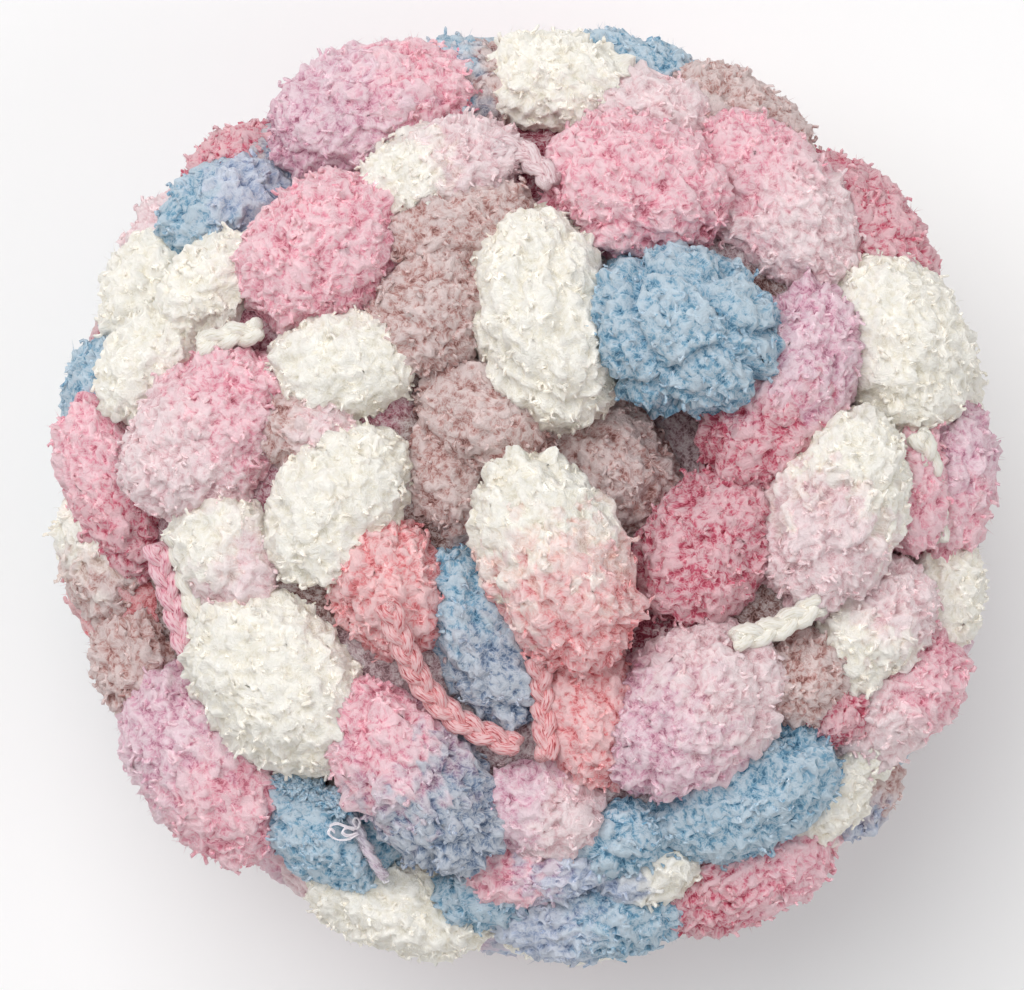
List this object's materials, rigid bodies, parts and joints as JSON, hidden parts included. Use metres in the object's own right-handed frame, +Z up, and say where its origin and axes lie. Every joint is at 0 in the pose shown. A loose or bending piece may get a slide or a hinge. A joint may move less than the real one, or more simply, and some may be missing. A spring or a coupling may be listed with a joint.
{
  "type": "ball of pom pom yarn",
  "caption": "Squat wound ball of soft variegated pom pom yarn, oval pompoms joined by short plaited cord, with a hollow in its upper end and a flat spot under it.",
  "frame": {"origin": "middle of the flat spot under the ball, on the surface it stands on", "axes": "+Z up along the axis the yarn is wound round, out of the end with the hollow; +Y is the top of the view of that end"},
  "size_m": [0.1875, 0.1866, 0.126],
  "materials": {
    "pompom_pile": "matt cut microfibre pile, space-dyed pink, cream, light blue and mauve",
    "end_chenille": "matt fuzzy chenille thread, lilac"
  },
  "bodies": {
    "root": {"wound_ball": "pompom_pile", "loose_end": "end_chenille"}
  },
  "joints": []
}
